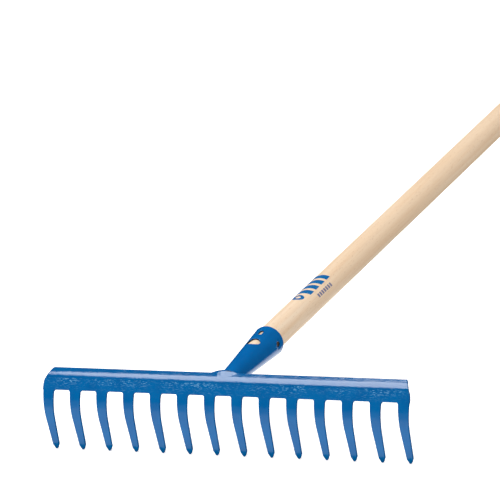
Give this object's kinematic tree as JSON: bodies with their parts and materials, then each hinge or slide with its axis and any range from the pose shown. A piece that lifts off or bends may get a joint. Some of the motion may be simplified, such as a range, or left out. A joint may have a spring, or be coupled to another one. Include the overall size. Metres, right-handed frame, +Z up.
{
  "type": "garden rake",
  "caption": "Level-headed steel garden rake: curved tines stamped from one plate, conical welded socket and round wooden handle.",
  "frame": {"origin": "on the ground, midway along the row of tine points, at the points' rear edges", "axes": "+X along the comb, +Y on the ground from the comb towards the handle's butt, +Z up; the rake lies on its tine points and on the handle's butt"},
  "size_m": [0.4026, 1.5448, 0.0865],
  "materials": {
    "comb_paint": "blue stoving enamel with an orange-peel surface",
    "socket_paint": "smooth blue stoving enamel",
    "wood": "pale turned beech, sanded and lightly waxed",
    "nail_steel": "dull browned steel",
    "print_ink": "blue printing ink on the wood"
  },
  "bodies": {
    "root": {"rake_head": "comb_paint", "socket": "socket_paint", "upper_weld": "comb_paint", "lower_weld": "comb_paint", "handle": "wood", "fixing_nails": "nail_steel"}
  },
  "joints": []
}
